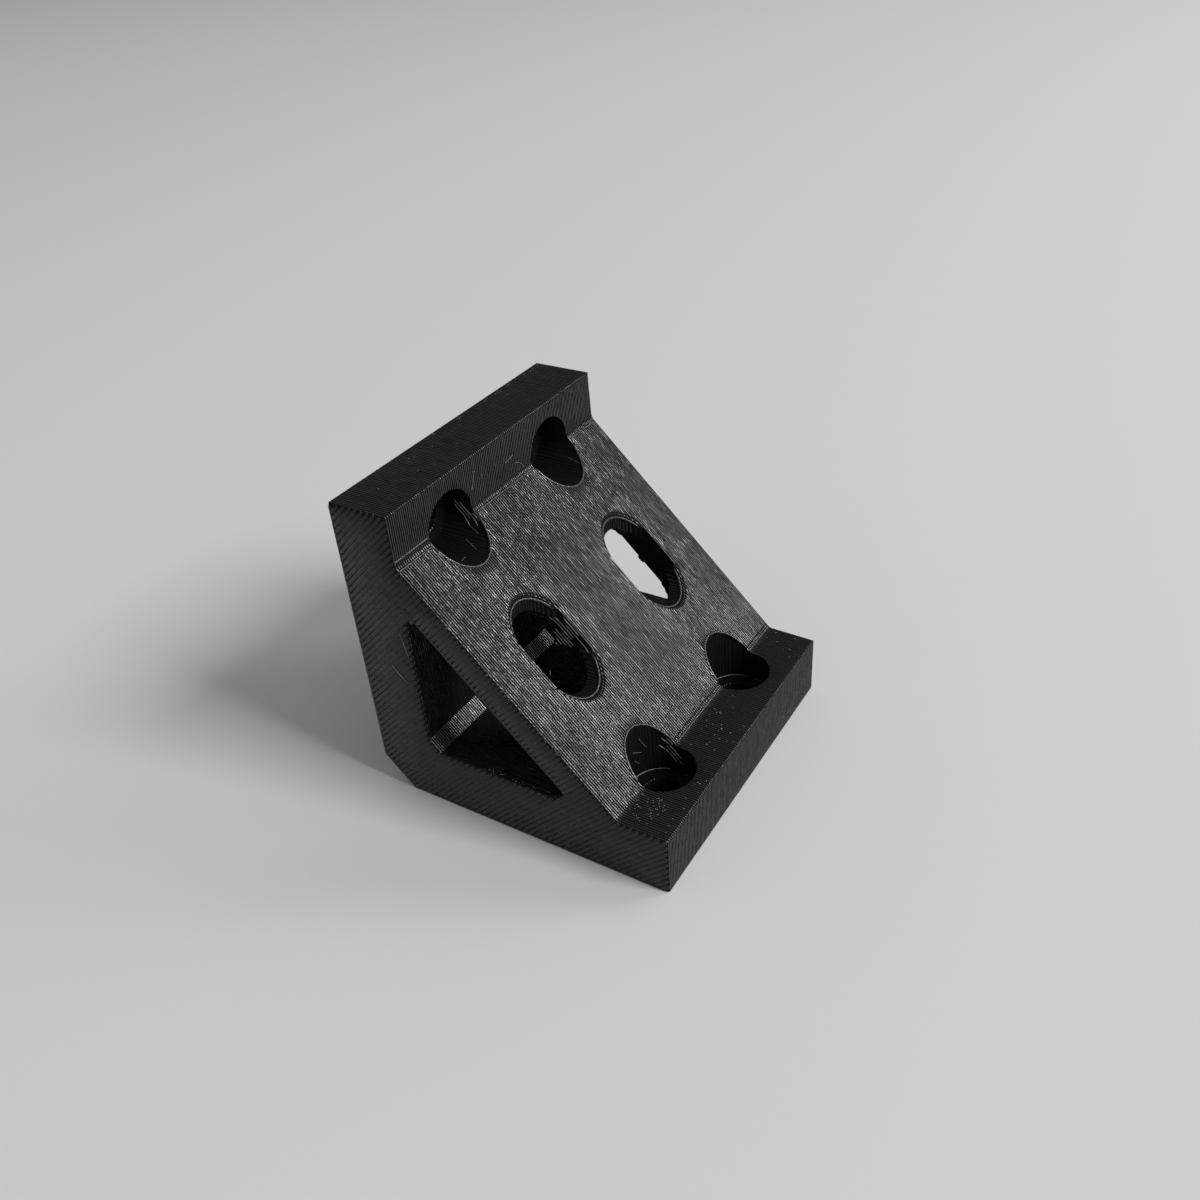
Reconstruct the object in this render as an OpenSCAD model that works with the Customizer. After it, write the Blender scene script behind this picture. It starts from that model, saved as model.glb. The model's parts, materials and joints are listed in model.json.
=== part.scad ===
// Gusseted corner bracket for joining two double-slot framing channels at a right angle.
// Two equal legs meet at a chamfered outer corner. A sloped gusset plate closes the legs into an
// open triangular channel, and every bolt has a head bore with a straight way in for its key.

/* [Legs] */
// Length of each leg, measured from the outer corner
leg_length = 40; // [34:0.5:60]
// Width of the bracket across the framing channels
width = 40; // [32:0.5:80]
// Thickness of each leg
leg_thickness = 8; // [6:0.25:10]
// Leg of the flat that clears the inside corner of the frame
outer_chamfer = 4; // [1:0.25:6]

/* [Gusset] */
// Thickness of the sloped gusset plate
gusset_thickness = 4; // [2.5:0.25:5]
// Radius where the gusset runs out onto the legs
junction_r = 1; // [0.4:0.1:2]
// Radius in the two sharp corners of the triangular channel
channel_r = 1; // [0.4:0.1:2]
// Leg of the flat in the square corner of the triangular channel
channel_chamfer = 1.5; // [0.5:0.1:2.5]

/* [Bolt holes] */
// Diameter of the bolt holes
bolt_hole_d = 4.5; // [3.4:0.1:5.5]
// Diameter of the bores that take the bolt heads
head_bore_d = 8; // [6:0.1:9.6]
// Leg material left under each bolt head
bolt_seat = 4; // [2.5:0.25:5]
// Distance between the two columns of bolts, the slot pitch of the framing channel
column_pitch = 20; // [14:0.5:24]
// From a leg's free end to its outer bolt row, where the gusset also runs out
end_margin = 6.25; // [5:0.25:8]
// Distance between the two rows of bolts in one leg
row_pitch = 14; // [11:0.25:18]

/* [Hidden] */

// How far a cutting shape reaches past the face that it cuts
past = 1;
// A true circle needs no more sides than this
$fn = 64;

// Where the gusset's outer face meets the inner face of a leg
gusset_foot = leg_length - end_margin;
// Where the gusset's inner face meets the inner face of a leg
channel_end = gusset_foot - gusset_thickness * sqrt(2);
// Distances of the bolt rows from the outer corner
outer_row = leg_length - end_margin;
inner_row = outer_row - row_pitch;

// Corner tools: a corner is a point p with two unit directions a and b along its edges
function half_angle(a, b) = acos(a * b) / 2;
function tangent_length(a, b, r) = r / tan(half_angle(a, b));
function arc_centre(p, a, b, r) = p + (a + b) / norm(a + b) * r / sin(half_angle(a, b));

// Points that take a corner's place in an outline: the ends of its arc, by way of the arc's centre
function arc_points(p, a, b, r) =
    let (reach = tangent_length(a, b, r))
    [p + a * reach, arc_centre(p, a, b, r), p + b * reach];

// The round of a corner's arc, to add to an outline or cut from it
module corner_round(p, a, b, r) {
    translate(arc_centre(p, a, b, r)) circle(r);
}

// Directions in the side view: along the foot, up the wall, and down the gusset's slope
along = [1, 0];
up = [0, 1];
slope = [1, -1] / sqrt(2);

// Side view of the legs and the gusset as one filled outline
module filled_outline() {
    foot_corner = [gusset_foot, leg_thickness];
    wall_corner = [leg_thickness, gusset_foot];
    difference() {
        polygon([
            [outer_chamfer, 0],
            [leg_length, 0],
            [leg_length, leg_thickness],
            each arc_points(foot_corner, along, -slope, junction_r),
            each arc_points(wall_corner, slope, up, junction_r),
            [leg_thickness, leg_length],
            [0, leg_length],
            [0, outer_chamfer],
        ]);
        corner_round(foot_corner, along, -slope, junction_r);
        corner_round(wall_corner, slope, up, junction_r);
    }
}

// Side view of the triangular channel under the gusset
module channel_outline() {
    foot_corner = [channel_end, leg_thickness];
    wall_corner = [leg_thickness, channel_end];
    polygon([
        [leg_thickness + channel_chamfer, leg_thickness],
        each arc_points(foot_corner, -along, -slope, channel_r),
        each arc_points(wall_corner, slope, -up, channel_r),
        [leg_thickness, leg_thickness + channel_chamfer],
    ]);
    corner_round(foot_corner, -along, -slope, channel_r);
    corner_round(wall_corner, slope, -up, channel_r);
}

// One bolt hole through the foot, with a head bore that runs on up and out through the gusset
module bolt_bore() {
    translate([0, 0, -past]) cylinder(d = bolt_hole_d, h = bolt_seat + 2 * past);
    translate([0, 0, bolt_seat]) cylinder(d = head_bore_d, h = leg_length);
}

// The grid of bolt bores in the foot
module foot_bores() {
    for (row = [inner_row, outer_row], side = [-1, 1])
        translate([row, side * column_pitch / 2, 0]) bolt_bore();
}

// The whole bracket, standing on its foot with the outer corner to the back
module bracket() {
    color("#1d1e20")
    translate([-leg_length / 2, 0, 0])
    difference() {
        rotate([90, 0, 0])
        linear_extrude(width, center = true)
        difference() {
            filled_outline();
            channel_outline();
        }
        foot_bores();
        // The wall leg's bores are the foot's, turned over the corner's bisecting plane
        mirror([1, 0, -1]) foot_bores();
    }
}

bracket();
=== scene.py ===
"""Looks of a printed corner bracket: its layers, skins, rims and strings, on a plain stage."""

import json
import math
from contextlib import contextmanager
from functools import partial

import bmesh
import bpy
import numpy as np
from bpy.props import FloatProperty, FloatVectorProperty, IntProperty, PointerProperty
from mathutils import Matrix, Vector


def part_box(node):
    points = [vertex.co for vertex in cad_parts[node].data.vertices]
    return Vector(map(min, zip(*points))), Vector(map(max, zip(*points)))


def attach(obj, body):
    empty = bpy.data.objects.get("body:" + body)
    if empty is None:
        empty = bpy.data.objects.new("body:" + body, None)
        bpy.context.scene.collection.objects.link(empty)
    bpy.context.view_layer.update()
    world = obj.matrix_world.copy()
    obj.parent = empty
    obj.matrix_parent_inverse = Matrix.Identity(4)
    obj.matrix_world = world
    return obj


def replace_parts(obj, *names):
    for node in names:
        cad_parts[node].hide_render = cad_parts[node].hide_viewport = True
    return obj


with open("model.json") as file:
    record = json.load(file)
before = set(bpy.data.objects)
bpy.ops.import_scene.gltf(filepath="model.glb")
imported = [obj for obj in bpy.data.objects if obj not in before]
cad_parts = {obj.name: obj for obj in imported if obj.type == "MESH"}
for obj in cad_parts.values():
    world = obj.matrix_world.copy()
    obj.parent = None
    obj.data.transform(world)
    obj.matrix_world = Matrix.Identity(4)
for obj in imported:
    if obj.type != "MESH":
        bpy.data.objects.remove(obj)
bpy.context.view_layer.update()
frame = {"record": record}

bl_info = {
    "name": "Printed Corner Bracket",
    "version": (1, 0, 0),
    "blender": (4, 5, 0),
    "location": "View3D > Sidebar > Bracket",
    "description": "Builds a corner bracket layer by layer, the way a filament printer lays it down",
    "category": "Object",
}

NODE = "bracket"
BODY = "root"
MM = 0.001

LOW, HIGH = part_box(NODE)
MIDDLE_Y = (LOW.y + HIGH.y) / 2
FOOT_BOLTS = next(m for m in frame["record"]["mounts"] if m["name"] == "foot_bolts")
ROOT_HALF = math.sqrt(0.5)

# The most that one step of an arc turns
ARC_STEP = math.radians(20)


# Properties that a user would change


def size(label, about, metres):
    """A length property."""
    return FloatProperty(name=label, description=about, default=metres, unit="LENGTH", precision=5)


def share(label, about, value):
    """A property from 0 to 1."""
    return FloatProperty(name=label, description=about, default=value, min=0, max=1, subtype="FACTOR")


def colour(label, about, rgb):
    """A colour property."""
    return FloatVectorProperty(
        name=label, description=about, default=rgb, size=3, min=0, max=1, subtype="COLOR"
    )


def power(label, about, watts):
    """A light's power property."""
    return FloatProperty(name=label, description=about, default=watts, unit="POWER")


def heading(label, about, way):
    """A direction property."""
    return FloatVectorProperty(name=label, description=about, default=way, subtype="DIRECTION")


class BracketSizes(bpy.types.PropertyGroup):
    """Sizes of the bracket, as the CAD part has them"""

    leg: size("Leg length", "Length of each leg from the outer corner", HIGH.x - LOW.x)
    width: size("Width", "Width across the framing channels", HIGH.y - LOW.y)
    thickness: size("Leg thickness", "Thickness of each leg", 8 * MM)
    chamfer: size("Outer flat", "Leg of the flat across the outer corner", 4 * MM)
    gusset: size("Gusset thickness", "Thickness of the sloped plate", 4 * MM)
    junction_r: size("Junction radius", "Radius where the gusset runs out onto the legs", 1 * MM)
    channel_r: size("Channel radius", "Radius in the sharp corners of the channel", 1 * MM)
    channel_flat: size("Channel flat", "Leg of the flat in the channel's square corner", 1.5 * MM)
    head_bore: size("Head bore", "Diameter of the bores for the bolt heads", 8 * MM)
    bolt_hole: size("Bolt hole", "Diameter of the bolt holes", 2 * MM * FOOT_BOLTS["dims"]["hole_r_mm"])
    seat: size("Bolt seat", "Leg material left under each bolt head", 4 * MM)
    column_pitch: size("Column pitch", "Between the bolt columns", MM * FOOT_BOLTS["dims"]["spacing_y_mm"])
    row_pitch: size("Row pitch", "Between the bolt rows", MM * FOOT_BOLTS["dims"]["spacing_x_mm"])
    rows_middle: size("Middle of the rows", "From the outer corner", FOOT_BOLTS["pos_m"][0] - LOW.x)


class PrintSizes(bpy.types.PropertyGroup):
    """How the printer laid the plastic down"""

    layers: IntProperty(name="Layers", description="Layers across the width", default=125, min=1)
    groove: size("Groove depth", "Depth of the groove between two layers", 0.08 * MM)
    layer_wobble: size("Layer wobble", "How far a whole layer sits off its neighbours", 0.006 * MM)
    line_wobble: size("Line wobble", "How far a line wanders along its layer", 0.006 * MM)
    edge_step: size("Edge step", "How far a layer draws in where the bores begin or end", 0.012 * MM)
    stepping: share("Stepping", "How much of a bore's curve is left as steps between layers", 0.1)
    station: size("Station", "Distance of the points along a line", 2.2 * MM)
    corner_r: size("Corner radius", "Radius that the nozzle leaves on an outer corner", 0.3 * MM)
    mouth_r: size("Mouth radius", "Radius that the nozzle leaves above a slot in the slope", 0.4 * MM)
    line: size("Line width", "Width of one line of plastic", 0.6 * MM)
    overlap: FloatProperty(
        name="Overlap", description="Width of a line over the pitch of the lines", default=1.12,
        min=1, max=2, subtype="FACTOR",
    )
    top_rise: size("Top line rise", "Half height of the lines on the top skin", 0.12 * MM)
    bed_rise: size("Bed line rise", "Half height of the lines on the bed skin", 0.03 * MM)
    bead_wobble: share("Bead wobble", "How far the width of a line varies", 0.06)
    hair: size("Hair width", "Width of the strings that the nozzle pulled", 0.035 * MM)
    speck: size("Speck size", "Radius of the crumbs of plastic on the faces", 0.08 * MM)
    fold_strip: size("Fold strip", "From the lower fold to the groove above it, each way", 0.56 * MM)
    groove_width: size("Rim groove width", "Width of the groove round each slot in the slope", 0.36 * MM)
    ridge: size("Ridge width", "Width of the raised lines at the mouths and the folds", 0.36 * MM)
    ridge_sink: size("Ridge sink", "How far the middle of a raised line lies under its face", 0.06 * MM)
    seed: IntProperty(name="Seed", description="Seed of every random choice", default=7)


class FinishColours(bpy.types.PropertyGroup):
    """Colours and gloss of the plastic"""

    dark: colour("Dark plastic", "Colour of the plastic in its darker streaks", (0.0057, 0.006, 0.0068))
    light: colour("Light plastic", "Colour of the plastic in its lighter streaks", (0.0122, 0.0128, 0.0144))
    # This colour also paints the lines in the bores pale: a painted highlight
    crumbs: colour("Crumbs", "Colour of the crumbs of plastic on the faces", (0.42, 0.45, 0.5))
    smooth: share("Smoothest", "Roughness of the glossiest lines", 0.18)
    rough: share("Roughest", "Roughness of the dullest lines", 0.38)
    layer_gloss: share("Layer gloss", "Gloss of a layer along the middle of its line", 0.66)
    # The grooves' low gloss is partly their rough bottom and partly painted shade
    groove_gloss_and_shade: share("Groove gloss", "Gloss of the grooves between the layers", 0.02)
    skin_gloss: share("Skin gloss", "Gloss of the lines on the two sides", 0.17)
    ridge_gloss: share("Ridge gloss", "Gloss of the raised lines", 0.7)


class StageLook(bpy.types.PropertyGroup):
    """Floor, light and camera"""

    floor: colour("Floor", "Colour of the floor", (0.79, 0.78, 0.766))
    sky_low: share("Sky at the horizon", "Strength of the light from low down all round", 0.66)
    sky_high: share("Sky overhead", "Strength of the light from overhead", 0.17)
    sky_shine: share("Sky in reflections", "Strength of the sky that the plastic mirrors", 0.235)
    sky_seen: share("Sky in view", "Strength of the sky behind the floor", 0.6)
    # Beyond this reach the floor is painted black in reflections: a painted dark reflection
    shine_reach: size("Floor in reflections", "How far from the bracket the plastic mirrors the floor", 0.3)
    light: colour("Light", "Colour of every light", (0.965, 0.98, 1.0))
    key: power("Key light", "Power of the key light", 27)
    key_size: size("Key size", "Side of the key light", 0.7)
    key_way: heading("Key direction", "Way from the bracket to the key light", (0.76, 0.07, 0.64))
    back: power("Back light", "Power of the back light", 4.6)
    back_size: size("Back size", "Long side of the back light", 2.3)
    back_depth: size("Back depth", "Short side of the back light", 0.55)
    back_way: heading("Back direction", "Way from the bracket to the back light", (0.42, 0.6, 0.68))
    low: power("Low light", "Power of the low light", 7)
    low_size: size("Low size", "Side of the low light", 0.55)
    low_way: heading("Low direction", "Way from the bracket to the low light", (0.69, 0.66, 0.3))
    slant: heading("Slant", "Way of the long side of each light", (-0.82, 0, 0.574))
    distance: size("Light distance", "From the bracket to each light", 2.0)
    camera: FloatVectorProperty(
        name="Camera", description="Place of the camera", default=(0.06274, -0.09268, 0.09789),
        subtype="TRANSLATION", unit="LENGTH", precision=5,
    )
    target: FloatVectorProperty(
        name="Target", description="Where the camera's axis meets the floor",
        default=(-0.01651, 0.02527, 0), subtype="TRANSLATION", unit="LENGTH", precision=5,
    )
    roll: FloatProperty(
        name="Roll", description="Turn of the camera round its axis", default=math.radians(-4.6),
        unit="ROTATION",
    )
    lens: FloatProperty(
        name="Lens", description="Focal length for a 36 mm sensor", default=34.03, unit="CAMERA"
    )


class BracketLook(bpy.types.PropertyGroup):
    """Everything that can be set about the bracket's looks"""

    sizes: PointerProperty(name="Sizes", description="Sizes of the bracket", type=BracketSizes)
    laid: PointerProperty(name="Print", description="How it was printed", type=PrintSizes)
    finish: PointerProperty(name="Finish", description="Colours and gloss", type=FinishColours)
    stage: PointerProperty(name="Stage", description="Floor, light and camera", type=StageLook)


# Node helpers


def put(tree, kind, links=None, **settings):
    """Add a node, set its options, and feed its inputs from values or other nodes' outputs."""
    node = tree.nodes.new(kind)
    for name, value in settings.items():
        setattr(node, name, value)
    for key, value in (links or {}).items():
        if isinstance(value, bpy.types.NodeSocket):
            tree.links.new(value, node.inputs[key])
        else:
            node.inputs[key].default_value = value
    return node


def math_node(tree, operation, *values, clamp=False):
    """The result of a math node on one to three values or sockets."""
    node = put(tree, "ShaderNodeMath", dict(enumerate(values)), operation=operation, use_clamp=clamp)
    return node.outputs[0]


def vector_node(tree, operation, *values):
    """The result of a vector math node on values or sockets."""
    links = {0: values[0], 3: values[1]} if operation == "SCALE" else dict(enumerate(values))
    node = put(tree, "ShaderNodeVectorMath", links, operation=operation)
    return node.outputs["Value" if operation == "LENGTH" else "Vector"]


def remap(tree, value, old, new):
    """A value taken from one range to another, and kept inside it."""
    links = {"Value": value, "From Min": old[0], "From Max": old[1], "To Min": new[0], "To Max": new[1]}
    return put(tree, "ShaderNodeMapRange", links).outputs[0]


def mix_colours(tree, amount, first, second):
    """A mix of two colours, with this amount of the second."""
    links = {0: amount, 6: (*first, 1), 7: (*second, 1)}
    return put(tree, "ShaderNodeMix", links, data_type="RGBA").outputs[2]


def split(tree, vector):
    """The three parts of a vector."""
    return put(tree, "ShaderNodeSeparateXYZ", {0: vector}).outputs


def new_tree(name, **sockets):
    """A geometry node tree with named inputs of each kind and a material, and what they give."""
    tree = bpy.data.node_groups.new(name, "GeometryNodeTree")
    tree.interface.new_socket("Geometry", in_out="INPUT", socket_type="NodeSocketGeometry")
    for kind, labels in (sockets | {"Material": ["Material"]}).items():
        for label in labels:
            tree.interface.new_socket(label, in_out="INPUT", socket_type="NodeSocket" + kind)
    tree.interface.new_socket("Geometry", in_out="OUTPUT", socket_type="NodeSocketGeometry")
    return tree, tree.nodes.new("NodeGroupInput").outputs


def close_tree(tree, geometry, material):
    """End a tree in realized geometry with its material."""
    real = put(tree, "GeometryNodeRealizeInstances", {0: geometry})
    shaded = put(tree, "GeometryNodeSetMaterial", {"Geometry": real.outputs[0], "Material": material})
    put(tree, "NodeGroupOutput", {0: shaded.outputs[0]})


def named_vector(tree, name):
    """A vector attribute of the geometry."""
    return put(
        tree, "GeometryNodeInputNamedAttribute", {"Name": name}, data_type="FLOAT_VECTOR"
    ).outputs[0]


def applied(carrier):
    """A plain mesh of an object with its modifiers applied."""
    return bpy.data.meshes.new_from_object(carrier.evaluated_get(bpy.context.evaluated_depsgraph_get()))


def run_tree(tree, mesh, values):
    """Run a tree on a mesh and return the result as a plain mesh with its faces turned outwards."""
    carrier = bpy.data.objects.new(mesh.name, mesh)
    bpy.context.scene.collection.objects.link(carrier)
    modifier = carrier.modifiers.new(tree.name, "NODES")
    modifier.node_group = tree
    sockets = {s.name: s.identifier for s in tree.interface.items_tree if s.in_out == "INPUT"}
    for name, value in values.items():
        modifier[sockets[name]] = value
    made = applied(carrier)
    bpy.data.objects.remove(carrier)
    bpy.data.meshes.remove(mesh)
    turn_outwards(made)
    return made


@contextmanager
def opened(mesh):
    """A mesh opened for editing, which is written back at the end."""
    work = bmesh.new()
    work.from_mesh(mesh)
    yield work
    work.to_mesh(mesh)
    work.free()


def turn_outwards(mesh):
    """Turn the faces of a closed mesh outwards."""
    with opened(mesh) as work:
        bmesh.ops.recalc_face_normals(work, faces=work.faces)


def smooth_by_angle(mesh, limit):
    """Shade smooth, with a sharp edge wherever two faces meet at more than the limit."""
    with opened(mesh) as work:
        for face in work.faces:
            face.smooth = True
        for edge in work.edges:
            edge.smooth = len(edge.link_faces) == 2 and edge.calc_face_angle(math.pi) < limit


def piece(name, mesh, material):
    """Put a finished mesh into the scene as a piece of the object, on the bracket's body."""
    mesh.name = name
    mesh.materials.clear()
    mesh.materials.append(material)
    made = bpy.data.objects.new(name, mesh)
    bpy.context.scene.collection.objects.link(made)
    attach(made, BODY)
    return made


# Outlines in the side view, as points (along the foot, up the wall) from the outer corner


def outer_row(s):
    """How far the outer bolt row lies from the outer corner. The gusset meets the legs there too."""
    return s.rows_middle + s.row_pitch / 2


def inner_row(s):
    """How far the inner bolt row lies from the outer corner."""
    return s.rows_middle - s.row_pitch / 2


def bore_edges(s):
    """How far the inner and outer edges of the head bores lie from the middle of the width."""
    return (s.column_pitch - s.head_bore) / 2, (s.column_pitch + s.head_bore) / 2


def outline_corners(s, inset=0.0, corner_r=0.0):
    """Corners of the bracket's side view as (along, up, radius), moved in by the inset."""
    shift = inset * (math.sqrt(2) - 1)
    round_out = max(corner_r - inset, 0)
    foot = [
        (s.chamfer + shift, inset, round_out),
        (s.leg - inset, inset, round_out),
        (s.leg - inset, s.thickness - inset, round_out),
        (outer_row(s) - shift, s.thickness - inset, s.junction_r + inset),
    ]
    return foot + [(up, along, r) for along, up, r in reversed(foot)]


def channel_corners(s, outset=0.0):
    """Corners of the triangular channel under the gusset, moved out into the solid by the outset."""
    near = s.thickness - outset
    flat = s.thickness + s.channel_flat - outset * (math.sqrt(2) - 1)
    reach = outer_row(s) - s.gusset * math.sqrt(2) + outset * (1 + math.sqrt(2))
    foot = [(flat, near, 0.0), (reach, near, s.channel_r + outset)]
    return foot + [(up, along, r) for along, up, r in reversed(foot)]


def unit(vector):
    """The direction of a vector."""
    return vector / np.linalg.norm(vector)


def turning(before, after):
    """The angle from one direction to another, positive to the left."""
    return math.atan2(before[0] * after[1] - before[1] * after[0], before @ after)


def trace(corners, station=None):
    """Points, outward directions and reaches round a loop of corners (along, up, radius, reach).

    The loop runs anticlockwise. A corner with a radius becomes an arc, and a straight stretch gets a
    point at every station. A point's reach is how far it moves as a bore opens to its full width.
    """
    full = [
        (np.array(c[:2], float), c[2], np.array(c[3] if len(c) > 3 else (0, 0), float)) for c in corners
    ]
    number = len(full)
    ends = [place + reach for place, _, reach in full]
    ways = [unit(ends[(i + 1) % number] - ends[i]) for i in range(number)]
    turns = [turning(ways[i - 1], ways[i]) for i in range(number)]
    points, outward, reaches = [], [], []
    for i, (place, radius, reach) in enumerate(full):
        back, ahead, turn = ways[i - 1], ways[i], turns[i]
        right = np.array([back[1], -back[0]])
        steps = max(1, math.ceil(abs(turn) / ARC_STEP)) if radius else 0
        start = place - back * radius * math.tan(abs(turn) / 2)
        centre = start - right * radius * math.copysign(1, turn)
        for k in range(steps + 1):
            angle = turn * (k / steps if steps else 0.5)
            cos, sin = math.cos(angle), math.sin(angle)
            way = np.array([right[0] * cos - right[1] * sin, right[0] * sin + right[1] * cos])
            if steps:
                points.append(centre + way * radius * math.copysign(1, turn))
                outward.append(way)
            else:
                points.append(place)
                outward.append(way / math.cos(turn / 2))
            reaches.append(reach)
        if station:
            after, after_r, after_reach = full[(i + 1) % number]
            after_turn = turns[(i + 1) % number]
            leave = points[-1]
            arrive = after - ahead * after_r * math.tan(abs(after_turn) / 2)
            count = int(np.linalg.norm(arrive - leave) / station)
            for k in range(1, count):
                points.append(leave + (arrive - leave) * k / count)
                outward.append(np.array([ahead[1], -ahead[0]]))
                reaches.append(reach + (after_reach - reach) * k / count)
    return np.array(points), np.array(outward), np.array(reaches)


def mirrored(corners):
    """The same loop on the other leg, turned over the line that halves the square corner."""
    return [(c[1], c[0], c[2], (c[3][1], c[3][0])) for c in reversed(corners)]


# Printed layers


# Rows of points in each printed layer, and how near under a layer a row counts as in it, over its height
ROWS_PER_LAYER = 4
LEVEL_SLACK = 0.01
# Scale of the noise that makes the lines wander, and how far apart in it two layers lie
WANDER_SCALE = 180.0
WANDER_STRIDE = 3.7
# The layers end this far under a side's face, over the half height of its skin's lines
SKIN_DEPTH = 0.95
# Beside a mouth, a cutter lifts off the face by this angle for this far
LIFT = math.radians(12)
LIFT_LENGTH = 1 * MM
# Where two bores share a mouth, each reaches this far to the other, over half the distance between them
MOUTH_LAP = 1.1
# Edges shorter than this are taken out after cutting, and faces that meet at more than the angle stay sharp
LEAST_EDGE = 0.002 * MM
SHARP_ANGLE = math.radians(32)
# Gloss of the bores' walls, of the dashes beside their mouths and of the flat in the channel, over that
# of the other faces. On the walls it is cut as painted shade; on the dashes and the flat it is raised as
# painted sheen
BORE_PAINTED_SHADE = 0.35
DASH_PAINTED_SHEEN = 2.3
FLAT_PAINTED_SHEEN = 3.0
# How far from a mouth the dashes reach, and how few of them shine much
DASH_REACH = 4.5 * MM
DASH_FALL = 1.5
# How far off a bore's wall and off a slope a face may lie and still count as part of it
WALL_SLACK = 0.02 * MM
SLOPE_SLACK = 0.2 * MM


def layer_tree():
    """Geometry nodes that stack a side-view section into printed layers along the width."""
    numbers = (
        "Bed", "Layer Height", "Groove Depth", "Layer Wobble", "Line Wobble", "Edge Step", "Inner Edge",
        "Outer Edge", "Bore Centre", "Bore Radius", "Least Chord", "Stepping",
    )
    tree, into = new_tree("Printed Layers", Float=numbers, Int=("First Layer", "Layers", "Seed"))
    calc = partial(math_node, tree)
    last = calc("ADD", into["First Layer"], into["Layers"])

    def level(layer):
        """Place across the width of a layer's lower side."""
        height = calc("MULTIPLY", layer, into["Layer Height"])
        return calc("SUBTRACT", into["Bed"], height)

    start, end = (
        put(tree, "ShaderNodeCombineXYZ", {"Y": level(layer)}).outputs[0]
        for layer in (into["First Layer"], last)
    )
    path = put(tree, "GeometryNodeCurvePrimitiveLine", {"Start": start, "End": end})
    rows = calc("MULTIPLY_ADD", into["Layers"], ROWS_PER_LAYER, 1)
    path = put(tree, "GeometryNodeResampleCurve", {"Curve": path.outputs[0], "Count": rows}, mode="COUNT")
    section = put(tree, "GeometryNodeMeshToCurve", {0: into["Geometry"]})
    sweep = {"Curve": path.outputs[0], "Profile Curve": section.outputs[0], "Fill Caps": True}
    tube = put(tree, "GeometryNodeCurveToMesh", sweep)
    across = split(tree, put(tree, "GeometryNodeInputPosition").outputs[0])["Y"]
    height = calc("DIVIDE", calc("SUBTRACT", into["Bed"], across), into["Layer Height"])
    layer = calc("FLOOR", calc("ADD", height, LEVEL_SLACK))
    layer = calc("MINIMUM", layer, calc("SUBTRACT", last, 1))
    from_middle = calc("SUBTRACT", calc("SUBTRACT", height, layer), 0.5)

    # A bead is widest at its middle and falls back to the groove at both sides
    curve = calc("MULTIPLY", calc("MULTIPLY", from_middle, from_middle), 4)
    groove = calc("MULTIPLY", curve, into["Groove Depth"])
    draw = {2: -1.0, 3: 1.0, "ID": layer, "Seed": into["Seed"]}
    shift = put(tree, "FunctionNodeRandomValue", draw, data_type="FLOAT")
    shift = calc("MULTIPLY", shift.outputs[1], into["Layer Wobble"])
    place = named_vector(tree, "place")
    apart = calc("MULTIPLY", layer, WANDER_STRIDE)
    noise = {"Vector": place, "W": apart, "Scale": WANDER_SCALE, "Detail": 1.0}
    wander = put(tree, "ShaderNodeTexNoise", noise, noise_dimensions="4D")
    wander = calc("MULTIPLY_ADD", wander.outputs[0], 2.0, -1.0)
    wander = calc("MULTIPLY", wander, into["Line Wobble"])
    inset = calc("ADD", groove, calc("ADD", shift, wander))

    # The layers where the bores begin and end draw in a little all round
    middle = calc("ADD", layer, 0.5)
    from_plane = calc("ABSOLUTE", level(middle))
    half = calc("MULTIPLY", into["Layer Height"], 0.5)
    for edge in ("Inner Edge", "Outer Edge"):
        at_edge = calc("COMPARE", from_plane, into[edge], half)
        inset = calc("MULTIPLY_ADD", at_edge, into["Edge Step"], inset)

    # A bore is about as wide in a layer as its circle is at the layer's middle
    follow = calc("SUBTRACT", 1.0, into["Stepping"])
    off = level(calc("MULTIPLY_ADD", from_middle, follow, middle))
    off = calc("SUBTRACT", off, into["Bore Centre"])
    off = calc("DIVIDE", off, into["Bore Radius"])
    chord = calc("SUBTRACT", 1.0, calc("MULTIPLY", off, off))
    chord = calc("SQRT", calc("MAXIMUM", chord, 0.0))
    chord = calc("MAXIMUM", chord, into["Least Chord"])

    opened = vector_node(tree, "SCALE", named_vector(tree, "reach"), chord)
    drawn_in = vector_node(tree, "SCALE", named_vector(tree, "outward"), inset)
    side = vector_node(tree, "SUBTRACT", vector_node(tree, "ADD", place, opened), drawn_in)
    parts = split(tree, side)
    spot = put(tree, "ShaderNodeCombineXYZ", {"X": parts["X"], "Y": across, "Z": parts["Z"]})
    stack = put(tree, "GeometryNodeSetPosition", {"Geometry": tube.outputs[0], "Position": spot.outputs[0]})
    close_tree(tree, stack.outputs[0], into["Material"])
    return tree


def section_mesh(name, traced):
    """A loop of edges for the layer tree, with each point's place, outward direction and reach."""
    points, outward, reaches = traced
    mesh = bpy.data.meshes.new(name)
    count = len(points)
    mesh.from_pydata([(x, z, 0) for x, z in points], [(i, (i + 1) % count) for i in range(count)], [])
    spread = {"place": points + np.array([LOW.x, LOW.z]), "outward": outward, "reach": reaches}
    for attribute, flat in spread.items():
        vectors = np.zeros((count, 3), np.float32)
        vectors[:, 0], vectors[:, 2] = flat[:, 0], flat[:, 1]
        mesh.attributes.new(attribute, "FLOAT_VECTOR", "POINT").data.foreach_set("vector", vectors.ravel())
    return mesh


def layer_levels(look):
    """Where the layers end over the bed skin, and the height of one layer."""
    laid = look.laid
    top = LOW.y + SKIN_DEPTH * laid.top_rise
    bed = HIGH.y - SKIN_DEPTH * laid.bed_rise
    return bed, (bed - top) / laid.layers


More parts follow.
